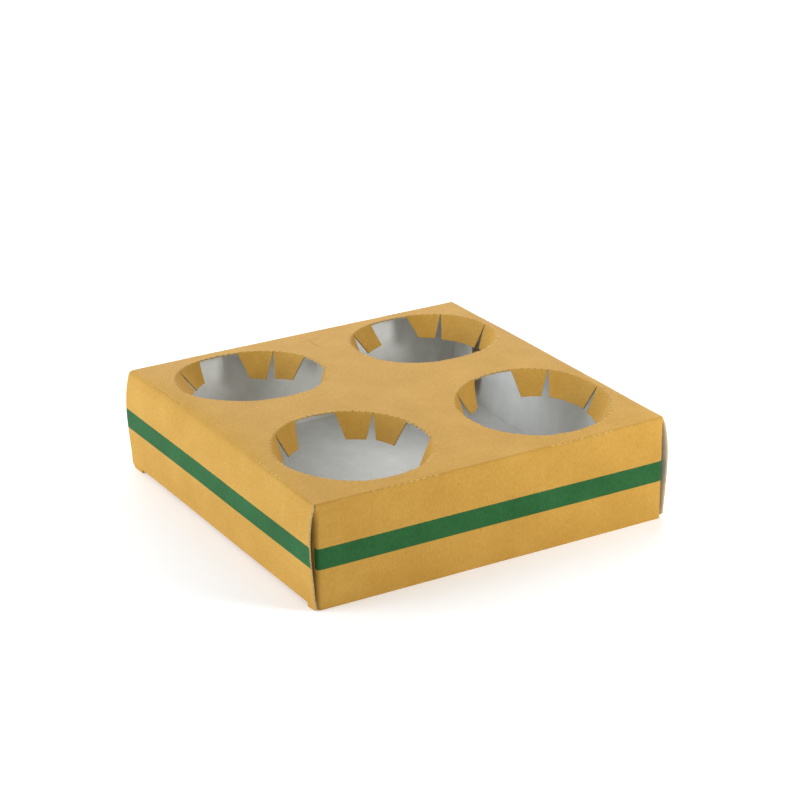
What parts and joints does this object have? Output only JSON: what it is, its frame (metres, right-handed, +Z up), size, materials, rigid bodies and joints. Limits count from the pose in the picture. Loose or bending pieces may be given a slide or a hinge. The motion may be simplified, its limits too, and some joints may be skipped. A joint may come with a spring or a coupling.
{
  "type": "cup carrier",
  "caption": "Low square carrier folded from one sheet of kraft board, with round cup holes in its arched top, petals folded down round them, and a floor inside.",
  "frame": {"origin": "middle of the footprint, on the ground that the feet and the end walls stand on", "axes": "+Z up through the holes, +X along the front wall to the right, +Y from the front wall to the back wall"},
  "size_m": [0.2066, 0.202, 0.0594],
  "materials": {
    "kraft_board": "matte"
  },
  "bodies": {
    "root": {"carrier": "kraft_board"}
  },
  "joints": []
}
